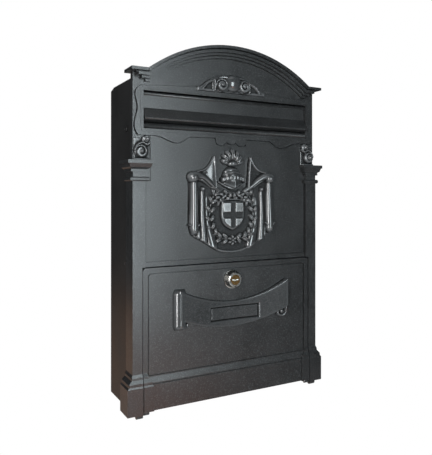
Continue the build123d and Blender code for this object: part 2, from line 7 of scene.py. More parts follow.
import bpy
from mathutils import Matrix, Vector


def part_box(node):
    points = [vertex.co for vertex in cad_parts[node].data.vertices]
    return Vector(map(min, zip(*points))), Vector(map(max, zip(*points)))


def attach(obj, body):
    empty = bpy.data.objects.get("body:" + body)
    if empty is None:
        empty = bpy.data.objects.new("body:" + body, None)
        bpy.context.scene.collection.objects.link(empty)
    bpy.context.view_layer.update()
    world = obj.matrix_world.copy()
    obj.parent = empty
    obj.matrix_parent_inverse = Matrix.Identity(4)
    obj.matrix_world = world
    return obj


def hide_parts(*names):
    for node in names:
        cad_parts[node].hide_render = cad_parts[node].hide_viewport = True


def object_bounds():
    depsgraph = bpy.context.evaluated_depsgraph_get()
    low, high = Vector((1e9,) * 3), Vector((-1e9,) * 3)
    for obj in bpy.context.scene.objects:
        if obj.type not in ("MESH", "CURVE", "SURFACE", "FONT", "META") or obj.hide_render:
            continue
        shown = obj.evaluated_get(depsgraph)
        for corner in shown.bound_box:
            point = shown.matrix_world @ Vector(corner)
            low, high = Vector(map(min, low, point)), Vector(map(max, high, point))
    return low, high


bl_info = {
    "name": "Letter Box Looks",
    "version": (1, 0, 0),
    "blender": (4, 5, 0),
    "location": "View3D > Sidebar > Letter Box",
    "description": "Cast reliefs, finishes and studio stage for a wall letter box",
    "category": "Object",
}

from math import atan2, cos, hypot, pi, radians, sin

import bmesh
import bpy
import numpy as np
from bpy.props import FloatProperty, FloatVectorProperty, PointerProperty
from mathutils import Vector

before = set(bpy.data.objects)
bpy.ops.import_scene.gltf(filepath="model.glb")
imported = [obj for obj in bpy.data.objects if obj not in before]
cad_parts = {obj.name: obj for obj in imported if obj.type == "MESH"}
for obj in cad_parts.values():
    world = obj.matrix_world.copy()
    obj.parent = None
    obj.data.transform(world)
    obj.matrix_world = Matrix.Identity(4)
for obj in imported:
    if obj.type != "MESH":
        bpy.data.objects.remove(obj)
CAD_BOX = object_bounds()

MM = 0.001
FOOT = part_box("body_wrap")[0].z / MM

# Depths of the surfaces that the reliefs stand on, and the middle of the lock's face, in mm.
PANEL_DEPTH, DOOR_DEPTH, FIELD_DEPTH, PLATE_DEPTH = 79.0, 80.7, 79.8, 78.0
LOCK_DEPTH, LOCK_HEIGHT = 89.8, 137.7

# A relief's rim lies below its seat, and the wall that closes it goes deeper still.
SUNK, SKIRT = 0.4, 0.3
# Painted light level of a flat face, the reach of the comparison with its surroundings, and the rise for a
# full painted highlight.
FLAT_LIGHT_LEVEL, LIGHT_LEVEL_REACH, LIGHT_LEVEL_RISE = 0.55, 1.6, 2.2


# ---- Outlines and reliefs: signed distances and heights over a grid -----------------------------

CURVE_STEPS = 6


def curve(points):
    """Smooth line through a few points, as a longer list of points."""
    p = np.array([points[0], *points, points[-1]], float)
    line = []
    for a, b, c, d in zip(p, p[1:], p[2:], p[3:]):
        for t in np.linspace(0, 1, CURVE_STEPS, endpoint=False):
            line.append(0.5 * (2 * b + (c - a) * t + (2 * a - 5 * b + 4 * c - d) * t**2
                               + (3 * b - a - 3 * c + d) * t**3))
    line.append(p[-1])
    return [tuple(q) for q in line]


def along(x, z, points):
    """Distance from each grid point to a line, and where along it (0 to 1) the nearest point lies."""
    best, place, total = np.full(x.shape, 1e9), np.zeros(x.shape), 0.0
    spans = [hypot(bx - ax, bz - az) for (ax, az), (bx, bz) in zip(points, points[1:])]
    length = sum(spans)
    for (ax, az), (bx, bz), span in zip(points, points[1:], spans):
        if span > 0:
            t = np.clip(((x - ax) * (bx - ax) + (z - az) * (bz - az)) / span**2, 0, 1)
            gap = np.hypot(x - ax - t * (bx - ax), z - az - t * (bz - az))
            nearer = gap < best
            best = np.where(nearer, gap, best)
            place = np.where(nearer, (total + t * span) / length, place)
        total += span
    return best, place


def inside(x, z, points):
    """Signed distance to a closed outline, positive inside it."""
    closed = [*points, points[0]]
    within = np.zeros(x.shape, bool)
    for (ax, az), (bx, bz) in zip(closed, closed[1:]):
        if az != bz:
            crosses = (az > z) != (bz > z)
            within ^= crosses & (x < ax + (z - az) * (bx - ax) / (bz - az))
    gap = along(x, z, closed)[0]
    return np.where(within, gap, -gap)


def slab(distance, height, edge):
    """Flat-topped pad with a rounded edge, from the distance inside its outline."""
    rise = np.clip(distance / edge, 0, 1)
    return np.where(distance > 0, height * np.sqrt(1 - (1 - rise) ** 2), distance * 3)


def ridge(x, z, points, radius, height, end_radius=None):
    """Half-round rib along a line, which may taper to its end."""
    gap, place = along(x, z, points)
    end_radius = radius if end_radius is None else end_radius
    width = radius + (end_radius - radius) * place
    rise = height * (width / radius)
    inner = np.clip(1 - (gap / width) ** 2, 0, 1)
    return np.where(gap < width, rise * np.sqrt(inner), (width - gap) * 3)


def dome(x, z, cx, cz, rx, rz, height, turn=0.0):
    """Oval boss, turned clockwise by an angle in degrees."""
    c, s = cos(radians(turn)), sin(radians(turn))
    u, v = (x - cx) * c - (z - cz) * s, (x - cx) * s + (z - cz) * c
    r = np.hypot(u / rx, v / rz)
    return np.where(r < 1, height * np.sqrt(np.clip(1 - r**2, 0, 1)), (1 - r) * min(rx, rz) * 3)


def smooth(low, high, value):
    """Soft step from 0 at low to 1 at high."""
    t = np.clip((value - low) / (high - low), 0, 1)
    return t * t * (3 - 2 * t)


def blurred(h, reach):
    """A grid of heights averaged with their neighbours, a few cells away."""
    weights = np.exp(-0.5 * (np.arange(-3 * reach, 3 * reach + 1) / reach) ** 2)
    weights /= weights.sum()
    for axis in (0, 1):
        h = np.apply_along_axis(np.convolve, axis, h, weights, mode="same")
    return h


def relief(name, x_span, z_span, seat, height, body, pitch):
    """Closed mesh whose front stands height(x, z) above a seat depth, where that is above the seat."""
    xs = np.arange(x_span[0], x_span[1] + pitch, pitch)
    zs = np.arange(z_span[0], z_span[1] + pitch, pitch)
    x, z = np.meshgrid(xs, zs)
    h = np.maximum(height(x, z), -SUNK)
    proud = h > -SUNK + 1e-6
    cells = proud[:-1, :-1] | proud[1:, :-1] | proud[:-1, 1:] | proud[1:, 1:]
    # Height against the blurred neighbours gives a level from 0 in hollows to 1 on raised parts, which sets
    # the coat's painted shade and painted highlight.
    local = np.maximum(h, 0)
    level = blurred(local, max(1, round(LIGHT_LEVEL_REACH / pitch)))
    painted_light_level = np.clip(FLAT_LIGHT_LEVEL + (local - level) / LIGHT_LEVEL_RISE, 0, 1)
    mesh = bmesh.new()
    verts = {}
    layer = mesh.verts.layers.float.new("painted_light_level")

    def corner(row, column):
        if (row, column) not in verts:
            place = (x[row, column] * MM, -(seat + h[row, column]) * MM, (z[row, column] + FOOT) * MM)
            verts[row, column] = mesh.verts.new(place)
            verts[row, column][layer] = painted_light_level[row, column]
        return verts[row, column]

    for row, column in zip(*np.nonzero(cells)):
        mesh.faces.new([corner(row, column), corner(row, column + 1),
                        corner(row + 1, column + 1), corner(row + 1, column)])
    rim = [e for e in mesh.edges if e.is_boundary]
    walls = bmesh.ops.extrude_edge_only(mesh, edges=rim)["geom"]
    for v in (g for g in walls if isinstance(g, bmesh.types.BMVert)):
        v.co.y = -(seat - SUNK - SKIRT) * MM
    foot = [e for e in mesh.edges if e.is_boundary]
    bmesh.ops.triangle_fill(mesh, edges=foot, use_beauty=True)
    bmesh.ops.recalc_face_normals(mesh, faces=mesh.faces)
    for face in mesh.faces:
        face.smooth = True
    return add_piece(name, mesh, body)


def add_object(name, mesh):
    """Turn a bmesh into an object of the scene."""
    data = bpy.data.meshes.new(name)
    mesh.to_mesh(data)
    mesh.free()
    made = bpy.data.objects.new(name, data)
    bpy.context.scene.collection.objects.link(made)
    return made


def add_piece(name, mesh, body):
    """Turn a bmesh into an object that rides on a CAD body."""
    piece = add_object(name, mesh)
    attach(piece, body)
    return piece


# ---- The plaque: a mantle, a helm, a quartered shield and two leaf sprays -------------------------

CLOAK = (curve([(-6, 168), (8, 168.8), (20, 172), (35, 180.5), (50, 188.5), (54.5, 194), (56.5, 207),
                (56.5, 244), (56.5, 256), (50, 262), (41, 263.5), (33, 268), (28, 275.5), (24.5, 281.5)])
         + curve([(24.5, 281.5), (22.6, 275), (21.6, 262), (20.5, 247), (18.5, 242), (-6, 242)]))
SAIL = (curve([(24.6, 281.5), (28, 275.5), (33, 268.5), (41, 263.8), (50, 262.5)])
        + curve([(50, 262.5), (42, 258), (32, 251), (21.5, 244), (22.3, 262), (24.6, 281.5)]))
SHIELD = (curve([(-6, 230.0), (15.2, 230.0)])
          + curve([(15.2, 230.0), (15.4, 212), (12.4, 203), (6.4, 198.2), (0, 195.4)]) + [(-6, 198)])
SPRAY = curve([(5, 186), (17, 186.5), (26.4, 195), (29.6, 209), (28, 225), (23.4, 238)])
MANTLING = curve([(2, 233.5), (8, 237.4), (14.6, 234.8), (19.6, 229.6)])
HELM_MIDDLE, HELM_HALF, RING_PITCH = 256.5, 13.6, 3.4
VISOR_HEIGHT, VISOR_HALF, TOOTH_PITCH = 256.8, 15.6, 4.4
PLUME_FOOT, ROSE_HEIGHT = 273.0, 183.6
CROSS_HEIGHT, CROSS_HALF, CROSS_HALF_ACROSS, QUARTER_WIDTH = 213.0, 3.4, 3.0, 16.4
FIRST_LEAF, LEAF_LEAN = 0.04, 42


def leaf_pairs(line, count):
    """Places and headings of leaves set in pairs along a stem."""
    for i in range(count):
        t = FIRST_LEAF + (1.0 - FIRST_LEAF) * i / (count - 1)
        k = min(int(t * (len(line) - 1)), len(line) - 2)
        (ax, az), (bx, bz) = line[k], line[k + 1]
        heading = atan2(bx - ax, bz - az) * 180 / pi
        for lean in (-LEAF_LEAN, LEAF_LEAN):
            yield ax, az, heading + lean


def leaf(x, z, foot_x, foot_z, turn, width, length, height):
    """Veined leaf that grows from a point of its stem towards a heading in degrees."""
    reach = length * 0.75
    cx, cz = foot_x + reach * sin(radians(turn)), foot_z + reach * cos(radians(turn))
    blade = dome(x, z, cx, cz, width, length, height, turn)
    vein = np.abs((x - cx) * cos(radians(turn)) - (z - cz) * sin(radians(turn)))
    return blade - np.where(blade > 0, 0.22 * height * smooth(0.35 * width, 0, vein), 0)


def cloak_parts(m, z):
    """The mantle: its hollow lining, hanging folds, swags, knots and peaked ends."""
    cloak = slab(inside(m, z, CLOAK), 2.4, 2.2)
    yield cloak - smooth(0, 3, 31 - m) * smooth(0, 3, 238 - z)
    hem = slab(inside(m, z, CLOAK), 11.0, 4.0)
    folds = ((((50.6, 250), (50.4, 225), (51.0, 197)), 4.8, 7.6, 6.2),
             (((39.8, 240), (40.2, 214), (38.4, 184)), 3.0, 4.8, 5.0),
             (((45.4, 222), (45.4, 204), (44.2, 189)), 1.4, 2.4, 3.4),
             (((33.2, 236), (33.2, 208), (25.5, 177)), 2.8, 2.4, 7.0))
    for line, radius, height, end_radius in folds:
        yield np.minimum(ridge(m, z, curve(line), radius, height, end_radius), hem)
    yield ridge(m, z, curve([(-6, 170.0), (8, 170.6), (20.5, 173.8), (35, 182.0), (50, 190.4)]), 1.5, 3.0)
    yield ridge(m, z, curve([(44.6, 203.6), (50.6, 198.4), (57.0, 203.0)]), 0.9, 8.6)
    yield dome(m, z, 39.8, 243.6, 2.8, 2.8, 8.0)
    drape = curve([(53, 257.5), (45, 258.4), (35, 253.4), (26, 246.4), (17.5, 241.2)])
    swag = ridge(m, z, drape, 5.8, 9.6, 2.8)
    crease = along(m, z, curve([(50, 254), (40, 254.4), (28, 246)]))[0]
    yield swag - np.where(swag > 0, 1.8 * smooth(1.1, 0.2, crease), 0)
    sail = slab(inside(m, z, SAIL), 1.0, 1.0)
    strokes = along(m, z, [(33.5, 262.5), (40, 255.5)])[0]
    belly = 2.2 + 3.2 * np.exp((22.5 - m) / 6.5)
    yield sail * belly - np.where(sail > 0, smooth(1.0, 0.2, strokes), 0)
    yield ridge(m, z, curve([(24.8, 281.2), (23.4, 266), (21.6, 246), (20.6, 230)]), 0.95, 5.8, 0.7)
    yield ridge(m, z, curve([(25.6, 280), (29.6, 272.6), (36, 266.4), (46, 263.2)]), 1.0, 4.6, 1.2)
    yield dome(m, z, 51.2, 256.2, 7.0, 6.4, 10.4, 25)


def helm_parts(m, z):
    """The helm with a slotted visor and a pointed chin, and the plume on top of it."""
    skull = dome(m, z, 0, HELM_MIDDLE, HELM_HALF, 14.0, 10.4)
    rings = np.abs(np.mod(z + 0.022 * m**2 - 260.0, RING_PITCH) - RING_PITCH / 2)
    yield skull - np.where(skull > 0, 0.9 * smooth(0.7, 0.2, rings) * smooth(259.5, 260.5, z), 0)
    step = np.abs(np.mod(m + TOOTH_PITCH / 2, TOOTH_PITCH) - TOOTH_PITCH / 2)
    tooth = 1.5 * np.sqrt(np.clip(1 - (step / 2.1) ** 2, 0, 1))
    bow = np.sqrt(np.clip(1 - (m / 19.0) ** 2, 0, 1))
    visor = slab(np.minimum(VISOR_HALF - m, 2.7 - np.abs(z + 0.012 * m**2 - VISOR_HEIGHT)), 1.0, 1.0)
    yield np.where(visor > 0, visor * (9.2 * bow + tooth), visor)
    chin = slab(np.minimum(254.6 - 0.02 * m**2 - z, z - 244.0 - 0.42 * m) * 0.92, 1.0, 1.2)
    yield np.where(chin > 0, chin * (10.6 - 0.4 * m), chin)
    yield ridge(m, z, curve([(-6, 243.2), (6, 245.4), (18.5, 251.8)]), 1.3, 6.6, 1.0)
    yield dome(m, z, 0, PLUME_FOOT + 0.4, 7.4, 4.0, 8.0)
    for turn, length in ((0, 9.0), (24, 8.6), (48, 7.8), (72, 6.4)):
        across, up = sin(radians(turn)), cos(radians(turn))
        yield leaf(m, z, 5.0 * across, PLUME_FOOT + 3 * up, turn, 3.2, length, 7.8)


def crest_height(x, z):
    """Height of the plaque above the panel."""
    m = np.abs(x)
    parts = [*cloak_parts(m, z), *helm_parts(m, z)]
    edge = inside(m, z, SHIELD)
    arms = np.minimum(m - CROSS_HALF_ACROSS, np.abs(z - CROSS_HEIGHT) - CROSS_HALF)
    quarter = np.minimum(arms, edge - 2.0)
    lean = 0.13 * (np.mod(x + QUARTER_WIDTH, QUARTER_WIDTH) - QUARTER_WIDTH / 2)
    parts.append(slab(edge, 5.0, 1.2) + (1.6 + lean) * smooth(0, 0.6, quarter))
    parts.append(ridge(m, z, curve([(-6, 231.6), (8, 231.2), (16.8, 229.4)]), 1.2, 6.2, 0.9))
    for stem, count, width, length, rise in ((SPRAY, 8, 2.7, 5.4, 5.8), (MANTLING, 5, 2.0, 4.2, 5.6)):
        parts.append(ridge(m, z, stem, 1.0, 3.6, 0.7))
        for foot_x, foot_z, turn in leaf_pairs(stem, count):
            parts.append(leaf(m, z, foot_x, foot_z, turn, width, length, rise))
    for turn in range(0, 360, 60):
        across, up = 3.8 * sin(radians(turn)), 3.8 * cos(radians(turn))
        parts.append(dome(x, z, across, ROSE_HEIGHT + up, 1.9, 3.0, 5.8, turn))
    parts.append(dome(x, z, 0, ROSE_HEIGHT, 2.2, 2.2, 7.4))
    return np.maximum.reduce(parts)


# ---- The ribbon-shaped name plate -----------------------------------------------------------------

RIBBON_LEFT, RIBBON_RIGHT, RIBBON_EDGE = -70.0, 76.8, 0.6
NAME_MIDDLE, NAME_HEIGHT, NAME_HALF_WIDTH, NAME_HALF_HEIGHT = 3.0, 98.5, 33.0, 8.6
ROLL_MIDDLE, ROLL_FOOT, ROLL_TOP, ROLL_RADIUS, ROLL_RISE = -67.6, 85.2, 130.8, 8.4, 7.2


def ribbon_height(x, z):
    """Height of the name plate above the door: a hollow ribbon whose ends curl forward."""
    top, foot = 112.4 + 17.6 * (x / 69) ** 2, 82.8 + 10.5 * (x / 60) ** 2
    band = np.minimum(np.minimum(top - z, z - foot) * 0.94, np.minimum(RIBBON_RIGHT - x, x - RIBBON_LEFT))
    rise = 3.2 + 4.6 * np.clip((np.abs(x) - 8) / 68, 0, 1) ** 1.3
    edge = np.sqrt(1 - (1 - np.clip(band / RIBBON_EDGE, 0, 1)) ** 2)
    ribbon = np.where(band > 0, rise * edge, band * 3)
    name = np.minimum(NAME_HALF_WIDTH - np.abs(x - NAME_MIDDLE), NAME_HALF_HEIGHT - np.abs(z - NAME_HEIGHT))
    line = smooth(1.2, 0.5, np.abs(name - 1.0))
    ribbon = ribbon - np.where(band > 0, 1.6 * smooth(0, 0.6, name) + line, 0)
    ends = np.minimum(z - ROLL_FOOT, ROLL_TOP - z)
    rounded = np.sqrt(1 - (1 - np.clip(ends / 5.0, 0, 1)) ** 2)
    width = ROLL_RADIUS - 2.0 * smooth(5, 0, ends)
    across = np.clip(1 - ((x - ROLL_MIDDLE) / width) ** 2, 0, 1) ** 0.5
    roll = np.where((ends > 0) & (across > 0), ROLL_RISE * across * rounded, -2)
    hook = ridge(x, z, curve([(-62.6, 87.4), (-59.6, 88.6), (-58.6, 91.6), (-60.6, 94)]), 1.3, 4.6, 0.9)
    winding = curve([(74.6, 98), (74.2, 91.4), (69, 88.6), (63.6, 91.2), (64.6, 95.6)])
    curl = ridge(x, z, winding, 2.6, 6.8, 1.6)
    bead = dome(x, z, 69.2, 93.6, 3.4, 3.4, 6.0)
    return np.maximum.reduce([ribbon, roll, hook, curl, bead])


# ---- The scroll ornament over the slot and the brackets beside the panel --------------------------

SCROLL_FOOT, SCROLL_HALF = 356.2, 45.6
WINDOW = [(37.0, 358.9), (26.0, 358.9), (26.0, 367.6),
          *curve([(26.0, 367.6), (31.6, 364.8), (37.0, 358.9)])]
BRACKET_INSIDE, BRACKET_OUTSIDE, BRACKET_FOOT, BRACKET_TOP = 101.8, 121.2, 273.0, 298.6
LOWER_ROLL, UPPER_ROLL = (113.2, 284.0), (106.4, 297.2)


def volute(x, z, cx, cz, radius, height, eye):
    """Rolled scroll: a rounded pad with a spiral groove that winds in to a raised eye."""
    u, v = x - cx, z - cz
    r, turn = np.hypot(u, v), np.arctan2(v, u)
    pitch = radius * 0.62
    groove = np.abs(np.mod(r + pitch * (turn / (2 * pi) + 0.25), pitch) - pitch / 2)
    winding = smooth(eye, eye + 0.5, r) * smooth(0.2, 0.8, radius - r)
    cut = smooth(pitch * 0.26, pitch * 0.05, groove) * winding
    pad = slab(radius - r, height, radius * 0.35)
    return pad - np.where(pad > 0, 0.36 * height * cut, 0) + np.where(r < eye, smooth(eye, 0, r), 0)


def ornament_height(x, z):
    """Height of the double scroll above the field round the slot."""
    m = np.abs(x)
    crown = np.where(m < 26, 377.2 - 6.2 * (m / 26) ** 2, 360.4 + 10.6 * smooth(46, 26, m))
    plate = slab(np.minimum(np.minimum(crown - 0.5 - z, z - SCROLL_FOOT), SCROLL_HALF - m), 2.2, 0.9)
    parts = [plate - 1.6 * smooth(0, 0.5, inside(m, z, WINDOW))]
    parts.append(ridge(m, z, curve([(26.6, 368.8), (32.6, 365.6), (38.0, 359.2)]), 0.8, 3.8))
    parts.append(ridge(m, z, [(23.4, 358.6), (23.4, 369.6)], 1.3, 4.4))
    parts.append(volute(m, z, 15.0, 364.4, 8.0, 7.8, 1.8))
    parts.append(dome(x, z, 0.8, 367.4, 12.4, 10.2, 8.2))
    parts.append(ridge(m, z, curve([(7, 373.6), (14, 373.8), (21, 370.6)]), 2.4, 4.4, 1.2))
    return np.maximum.reduce(parts)


def bracket_height(side):
    """Height function of the S-shaped bracket on one side of the panel."""
    def height(x, z):
        m = side * x
        sides = np.minimum(m - BRACKET_INSIDE, BRACKET_OUTSIDE - m)
        parts = [slab(np.minimum(sides, np.minimum(z - BRACKET_FOOT, BRACKET_TOP - z)), 1.2, 0.5)]
        parts.append(volute(m, z, *LOWER_ROLL, 7.6, 6.0, 2.6))
        parts.append(dome(m, z, *LOWER_ROLL, 3.0, 3.0, 8.2))
        parts.append(slab(4.4 - np.hypot(m - UPPER_ROLL[0], z - UPPER_ROLL[1]), 4.6, 1.2))
        parts.append(dome(m, z, *UPPER_ROLL, 3.1, 3.1, 7.4))
        stem = curve([(102.8, 294.0), (106.6, 291.4), (111.4, 293.4), (117.0, 291.0), (120.0, 285.4)])
        parts.append(ridge(m, z, stem, 1.5, 5.6, 1.3))
        neck = curve([(110.4, 299.0), (110.8, 295.2), (108.6, 290.4), (107.2, 284.6)])
        parts.append(ridge(m, z, neck, 1.4, 4.2, 1.1))
        parts.append(ridge(m, z, [(104.6, 275.4), (120.2, 275.4)], 1.3, 3.6))
        return np.maximum.reduce(parts)
    return height


# ---- Shader maths ---------------------------------------------------------------------------------

class Signal:
    """A node's output socket, on which Python's arithmetic adds Math nodes."""

    def __init__(self, shader, socket):
        self.shader, self.socket = shader, socket

    def math(self, operation, first, second):
        return self.shader.add("ShaderNodeMath", {"operation": operation}, {0: first, 1: second})

    def __add__(self, other):
        return self.math("ADD", self, other)

    def __radd__(self, other):
        return self.math("ADD", other, self)

    def __sub__(self, other):
        return self.math("SUBTRACT", self, other)

    def __rsub__(self, other):
        return self.math("SUBTRACT", other, self)

    def __mul__(self, other):
        return self.math("MULTIPLY", self, other)

    def __rmul__(self, other):
        return self.math("MULTIPLY", other, self)


class Shader:
    """The node tree of a material or a world, with one method that adds any node."""

    def __init__(self, owner, surface):
        owner.use_nodes = True
        self.owner, self.tree = owner, owner.node_tree
        self.surface = self.tree.nodes[surface]

    def add(self, kind, settings, values, output=0):
        """Add a node, set its options, then its sockets' values or links, and return one output."""
        node = self.tree.nodes.new(kind)
        for key, value in settings.items():
            setattr(node, key, value)
        for key, value in values.items():
            self.feed(node.inputs[key], value)
        return Signal(self, node.outputs[output])

    def feed(self, socket, value):
        """Link a signal to a socket, or set the socket's value."""
        if isinstance(value, Signal):
            self.tree.links.new(value.socket, socket)
        else:
            socket.default_value = value

    def finish(self, **values):
        """Set the surface's sockets, named with underscores for spaces."""
        for key, value in values.items():
            self.feed(self.surface.inputs[key.replace("_", " ")], value)
        return self.owner

    def glow_for_camera(self, glow, output):
        """Show the camera a plain white glow, and everything else the surface itself."""
        white = self.add(glow, {}, {"Color": (1, 1, 1, 1), "Strength": 1.0})
        seen = self.add("ShaderNodeLightPath", {}, {}, output="Is Camera Ray")
        surface = Signal(self, self.surface.outputs[0])
        mixed = self.add("ShaderNodeMixShader", {}, {0: seen, 1: surface, 2: white})
        self.feed(self.tree.nodes[output].inputs["Surface"], mixed)

    def noise(self, place, scale, detail, roughness=0.5):
        """Cloudy pattern over the surface, from 0 to 1."""
        return self.add("ShaderNodeTexNoise", {}, {"Vector": place, "Scale": scale, "Detail": detail,
                                                   "Roughness": roughness})

    def blend(self, share, first, second):
        """Mix two colours."""
        return self.add("ShaderNodeMix", {"data_type": "RGBA"}, {0: share, 6: first, 7: second}, output=2)

    def ramp(self, value, low, high):
        """Spread the values between low and high over 0 to 1."""
        span = {"Value": value, "From Min": low, "From Max": high}
        return self.add("ShaderNodeMapRange", {"clamp": True}, span)


def new_material(name):
    """Node tree of a new material."""
    return Shader(bpy.data.materials.new(name), "Principled BSDF")


def tone(colour, factor):
    """A colour made lighter or darker, with full opacity."""
    return (colour[0] * factor, colour[1] * factor, colour[2] * factor, 1.0)


PEBBLE_SCALE, FLECK_SCALE, CLOUD_SCALE, STAIN_SCALE, TURNING_SCALE = 760.0, 420.0, 26.0, 320.0, 2600.0


def powder_coat(name, colour, gloss, grain, glint_tone, change=0.12, paint_relief_light=False, painted_highlight_tone=3.0):
    """Fine-textured powder coat: a pebbled grain, pale spots painted into the colour as glints of light,
    and a slow change of tone.

    With painted relief light, the raised parts get a painted highlight and the hollows get painted shade,
    and the hollows are also rougher and duller.
    """
    if name in bpy.data.materials:
        return bpy.data.materials[name]
    shader = new_material(name)
    place = shader.add("ShaderNodeTexCoord", {}, {}, output="Object")
    pebble = shader.noise(place, PEBBLE_SCALE, 3.0, 0.6)
    fleck = shader.noise(place, FLECK_SCALE, 2.0, 0.7)
    cloud = shader.noise(place, CLOUD_SCALE, 3.0, 0.55)
    shade = shader.ramp(cloud * 0.5 + fleck * 0.5, 0.34, 0.68)
    base = shader.blend(shade, tone(colour, 0.65), tone(colour, 1.3))
    # Pale spots painted into the colour stand in for glints of light off the grain.
    painted_glints = shader.ramp(pebble, 0.52, 0.68)
    base = shader.blend(painted_glints, base, tone(colour, glint_tone))
    rough = shader.ramp(fleck * 0.5 + cloud * 0.5, 0.3, 0.7) * change + gloss
    specular = 0.5
    if paint_relief_light:
        # Painted shade: the hollows are darkened in colour, made rougher and lose the clear coat. Painted
        # highlight: the raised parts are lightened in colour.
        painted_light_level = shader.add("ShaderNodeAttribute", {"attribute_name": "painted_light_level"}, {}, output="Fac")
        hollow = shader.ramp(1.0 - painted_light_level, 0.42, 0.85)
        base = shader.blend(hollow, base, tone(colour, 0.15))
        base = shader.blend(shader.ramp(painted_light_level, 0.6, 1.0), base, tone(colour, painted_highlight_tone))
        rough = rough + hollow * 0.4
        specular = 0.12
        shader.finish(Coat_Weight=shader.ramp(painted_light_level, 0.32, 0.68), Coat_Roughness=0.18, Coat_IOR=1.58)
    grit = {"Strength": grain, "Distance": 0.00012, "Height": pebble + fleck}
    bump = shader.add("ShaderNodeBump", {}, grit)
    return shader.finish(Base_Color=base, Roughness=rough, Normal=bump, Specular_IOR_Level=specular)


def plated_metal(name, colour, roughness, grain=0.15):
    """Plated or bare metal with faint turning marks and small stains."""
    shader = new_material(name)
    place = shader.add("ShaderNodeTexCoord", {}, {}, output="Object")
    stain = shader.noise(place, STAIN_SCALE, 4.0, 0.6)
    turning = shader.noise(place, TURNING_SCALE, 2.0)
    base = shader.blend(shader.ramp(stain, 0.35, 0.75), tone(colour, 1.0), tone(colour, 0.72))
    rough = shader.ramp(stain, 0.3, 0.8) * 0.14 + roughness
    bump = shader.add("ShaderNodeBump", {}, {"Strength": grain, "Distance": 0.0001, "Height": turning})
    return shader.finish(Base_Color=base, Metallic=1.0, Roughness=rough, Normal=bump)


# ---- Settings a user would change -----------------------------------------------------------------

class LetterBoxFinishes(bpy.types.PropertyGroup):
    """Colours and textures of the letter box."""
    cast_colour: FloatVectorProperty(name="Cast coat", description="Colour of the cast front and door",
                                     subtype="COLOR", size=3, min=0, max=1, default=(0.011, 0.0116, 0.012))
    sheet_colour: FloatVectorProperty(name="Sheet coat", description="Colour of the folded steel body",
                                      subtype="COLOR", size=3, min=0, max=1,
                                      default=(0.0075, 0.0077, 0.0078))
    grain: FloatProperty(name="Grain", description="Strength of the coat's pebbled texture",
                         subtype="FACTOR", min=0, max=1, default=0.55)
    nickel_colour: FloatVectorProperty(name="Nickel", description="Colour of the lock's bezel",
                                       subtype="COLOR", size=3, min=0, max=1, default=(0.44, 0.43, 0.40))
    brass_colour: FloatVectorProperty(name="Brass", description="Colour of the lock's plug",
                                      subtype="COLOR", size=3, min=0, max=1, default=(0.20, 0.12, 0.05))


class LetterBoxSizes(bpy.types.PropertyGroup):
    """Sizes that change the look of the letter box."""
    cast_edge: FloatProperty(name="Cast edge", description="Width of the rounding on the castings' edges",
                             subtype="DISTANCE", unit="LENGTH", min=0, default=0.00028)
    sheet_edge: FloatProperty(name="Sheet edge", description="Width of the rounding on the sheet's edges",
                              subtype="DISTANCE", unit="LENGTH", min=0, default=0.0004)
    relief_pitch: FloatProperty(name="Relief pitch", description="Spacing of the reliefs' grid in mm",
                                min=0.2, max=2.0, default=0.5)


def sizes():
    """The scene's sizes."""
    return bpy.context.scene.letter_box_sizes


def finishes():
    """The scene's colours and textures."""
    return bpy.context.scene.letter_box_finishes


WELD_GAP, FLAT_ANGLE, EDGE_ANGLE = 1e-5, radians(0.6), radians(28)


def soften(name, width):
    """Round the edges of a CAD node with modifiers."""
    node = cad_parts[name]
    weld = node.modifiers.new("weld", "WELD")
    weld.merge_threshold = WELD_GAP
    flat = node.modifiers.new("flat", "DECIMATE")
    flat.decimate_type, flat.angle_limit = "DISSOLVE", FLAT_ANGLE
    edge = node.modifiers.new("edge", "BEVEL")
    edge.width, edge.segments, edge.limit_method, edge.angle_limit = width, 2, "ANGLE", EDGE_ANGLE
    edge.harden_normals = True
    edge.use_clamp_overlap = True


def coat_nodes(names, material, edge=0.0):
    """Give CAD nodes a material and, where asked, rounded edges."""
    for name in names:
        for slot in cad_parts[name].material_slots:
            slot.material = material
        if edge:
            soften(name, edge)


def cast_coat():
    """The coat on the castings' plain faces."""
    f = finishes()
    return powder_coat("cast_powder_coat", f.cast_colour, 0.27, f.grain, 3.6)


def relief_coat():
    """The cast coat on the raised ornaments, where it lies smoother and glossier; its colour is lightened
    2.2 times as painted light, with painted shade in the hollows and a painted highlight on the raised
    parts.
    """
    f = finishes()
    # Lighter than the cast coat as painted light, not a different paint.
    colour = [2.2 * c for c in f.cast_colour]
    return powder_coat("relief_powder_coat", colour, 0.15, f.grain * 0.2, 1.8, change=0.05, paint_relief_light=True)


def ribbon_coat():
    """The cast coat on the name plate, which is duller than the ornaments; its colour is lightened 2.6
    times as painted light, with painted shade in the hollows and a weaker painted highlight on the raised
    parts.
    """
    f = finishes()
    # Lighter than the cast coat as painted light, not a different paint.
    colour = [2.6 * c for c in f.cast_colour]
    return powder_coat("ribbon_powder_coat", colour, 0.3, f.grain * 0.15, 1.8, change=0.05, paint_relief_light=True,
                       painted_highlight_tone=1.3)


def sheet_coat():
    """The coat on the folded steel body and its screws."""
    f = finishes()
    return powder_coat("sheet_powder_coat", f.sheet_colour, 0.40, f.grain * 0.7, 2.0)


def dress(piece, material):
    """Give a new piece its material."""
    piece.data.materials.append(material)


# ---- Operators ------------------------------------------------------------------------------------

class LETTERBOX_OT_body(bpy.types.Operator):
    """Coat the folded steel body and its screws"""
    bl_idname = "letterbox.body"
    bl_label = "Steel body"

    def execute(self, context):
        coat_nodes(("body_wrap", "side_cheek_left", "side_cheek_right", "frame_screws"), sheet_coat(),
                   sizes().sheet_edge)
        return {"FINISHED"}


